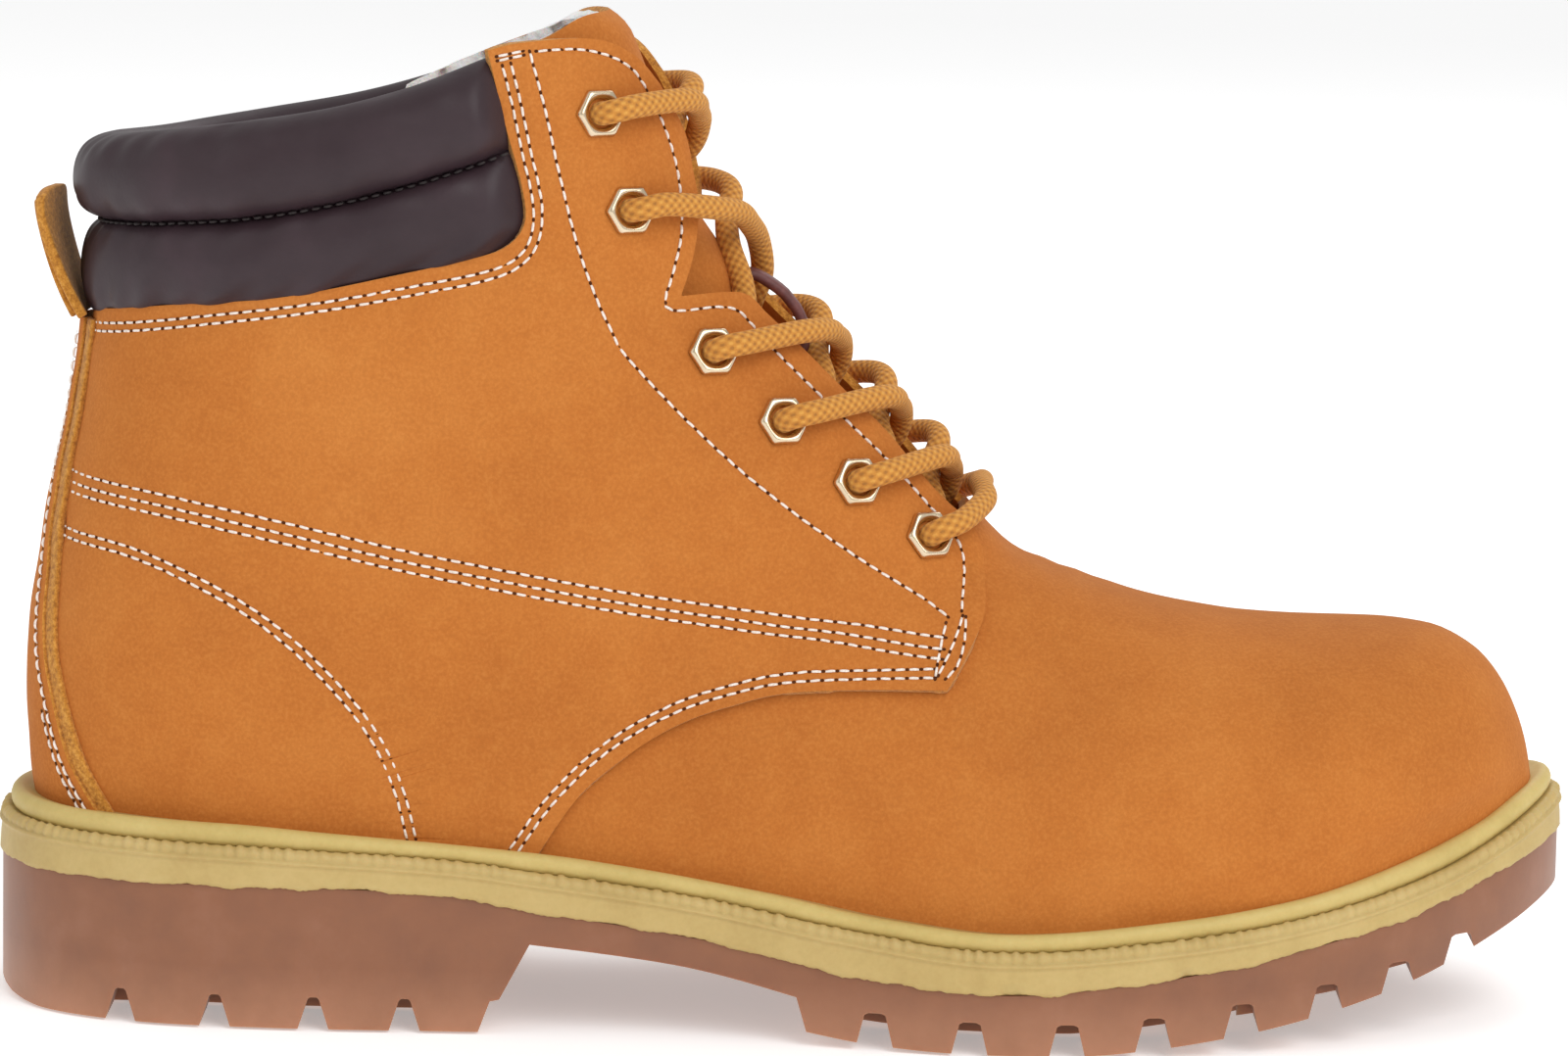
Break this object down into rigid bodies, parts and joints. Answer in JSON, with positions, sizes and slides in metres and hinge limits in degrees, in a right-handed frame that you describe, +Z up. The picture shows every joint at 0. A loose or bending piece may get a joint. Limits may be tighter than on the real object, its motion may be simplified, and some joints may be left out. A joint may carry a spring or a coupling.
{
  "type": "insulated hunting boots",
  "caption": "Right-foot lace-up insulated boot: wheat nubuck upper, padded dark collar, fleece lining, hexagonal eyelets, round lace and a lugged gum outsole under a pale welt.",
  "frame": {"origin": "under the middle of the sole's length and width, on the plane the lug treads rest on", "axes": "+X from heel to toe, +Y to the inner (medial) side of the foot, +Z up"},
  "size_m": [0.3082, 0.1151, 0.1944],
  "materials": {
    "gum_rubber": "moulded translucent gum rubber, satin",
    "cream_rubber": "moulded cream-yellow rubber, satin",
    "steel": "spring steel strip",
    "fibre_board": "pressed fibre board, matt",
    "fleece": "deep white pile",
    "insulation_foam": "open foam wadding",
    "nubuck": "wheat nubuck, fine short nap",
    "suede": "raw suede side of the nubuck",
    "dark_leather": "smooth dark brown padded leather, soft shine",
    "keeper_leather": "red-brown leather strap",
    "lace_yarn": "round braided golden yarn",
    "aglet_plastic": "dark plastic tip",
    "eyelet_metal": "pale champagne-gold plated, satin"
  },
  "bodies": {
    "boot": {"outsole": "gum_rubber", "midsole": "cream_rubber", "shank": "steel", "welt": "cream_rubber", "insole_board": "fibre_board", "footbed": "fleece", "vamp": "nubuck", "quarter_lateral": "nubuck", "quarter_medial": "nubuck", "eyestay_backer_lateral": "suede", "eyestay_backer_medial": "suede", "heel_counter": "fibre_board", "toe_puff": "fibre_board", "backstay": "nubuck", "collar_upper_roll": "dark_leather", "collar_lower_roll": "dark_leather", "insulation": "insulation_foam", "fleece_lining": "fleece", "tongue": "nubuck", "tongue_fleece": "fleece", "lace_keeper": "keeper_leather", "lace": "lace_yarn", "aglet_lateral": "aglet_plastic", "aglet_medial": "aglet_plastic", "eyelet_lateral_1": "eyelet_metal", "eyelet_lateral_2": "eyelet_metal", "eyelet_lateral_3": "eyelet_metal", "eyelet_lateral_4": "eyelet_metal", "eyelet_lateral_5": "eyelet_metal", "eyelet_lateral_6": "eyelet_metal", "eyelet_medial_1": "eyelet_metal", "eyelet_medial_2": "eyelet_metal", "eyelet_medial_3": "eyelet_metal", "eyelet_medial_4": "eyelet_metal", "eyelet_medial_5": "eyelet_metal", "eyelet_medial_6": "eyelet_metal"},
    "heel_tab": {"pull_tab": "nubuck"},
    "tongue_tip": {"tongue_top": "nubuck", "tongue_top_fleece": "fleece"}
  },
  "joints": [
    {"name": "pull_tab_hinge", "type": "hinge", "parent": "boot", "child": "heel_tab", "pos_m": [-0.1385, 0, 0.1314], "axis": [0, -1, 0], "range_deg": [0, 40]},
    {"name": "tongue_top_hinge", "type": "hinge", "parent": "boot", "child": "tongue_tip", "pos_m": [-0.0325, 0, 0.1813], "axis": [0, 1, 0], "range_deg": [0, 25]}
  ]
}
